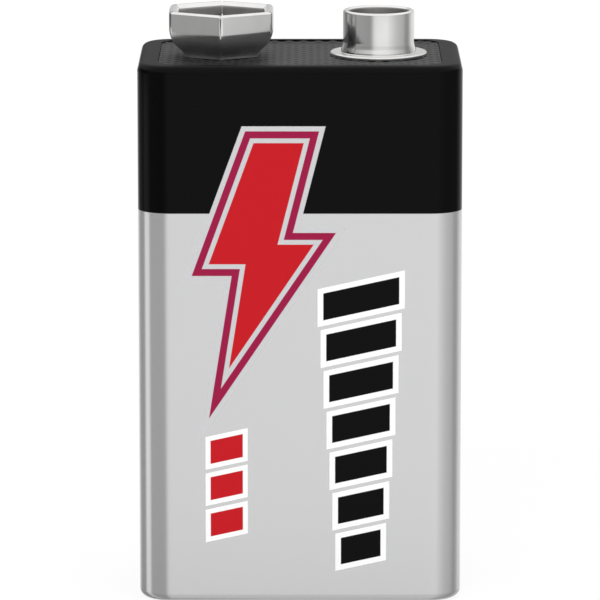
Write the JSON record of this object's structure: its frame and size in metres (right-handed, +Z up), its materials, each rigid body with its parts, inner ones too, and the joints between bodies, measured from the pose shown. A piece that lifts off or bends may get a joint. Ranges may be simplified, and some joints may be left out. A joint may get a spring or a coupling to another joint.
{
  "type": "nine volt battery",
  "caption": "Rectangular nine volt battery in a folded steel jacket, black above and silver below, with a hexagonal socket and a round stud terminal on top.",
  "frame": {"origin": "centre of the bottom, on the surface that it stands on", "axes": "+Z up towards the terminals; +X to the stud terminal's side; -Y towards the printed front face"},
  "size_m": [0.026, 0.0166, 0.0473],
  "materials": {
    "printed_jacket": "gloss print on tinned steel: black upper part, silver grey lower part",
    "top_plate": "black, finely embossed",
    "bottom_plate": "black, satin",
    "socket_terminal": "bright nickel plate",
    "stud_terminal": "bright nickel plate",
    "rivet": "nickel plate",
    "strap": "bare nickel strip",
    "card": "plain board",
    "liner": "kraft paper",
    "cell_can": "shrunk film round a drawn steel can, which shows at the button"
  },
  "bodies": {
    "root": {"jacket": "printed_jacket", "top_plate": "top_plate", "bottom_plate": "bottom_plate", "socket_terminal": "socket_terminal", "stud_terminal": "stud_terminal", "socket_rivet": "rivet", "stud_rivet": "rivet", "negative_lead": "strap", "positive_lead": "strap", "top_card": "card", "bottom_card": "card", "liner": "liner", "cell_1": "cell_can", "cell_2": "cell_can", "cell_3": "cell_can", "cell_4": "cell_can", "cell_5": "cell_can", "cell_6": "cell_can", "bottom_strap_1": "strap", "bottom_strap_2": "strap", "bottom_strap_3": "strap", "top_strap_1": "strap", "top_strap_2": "strap"}
  },
  "joints": []
}
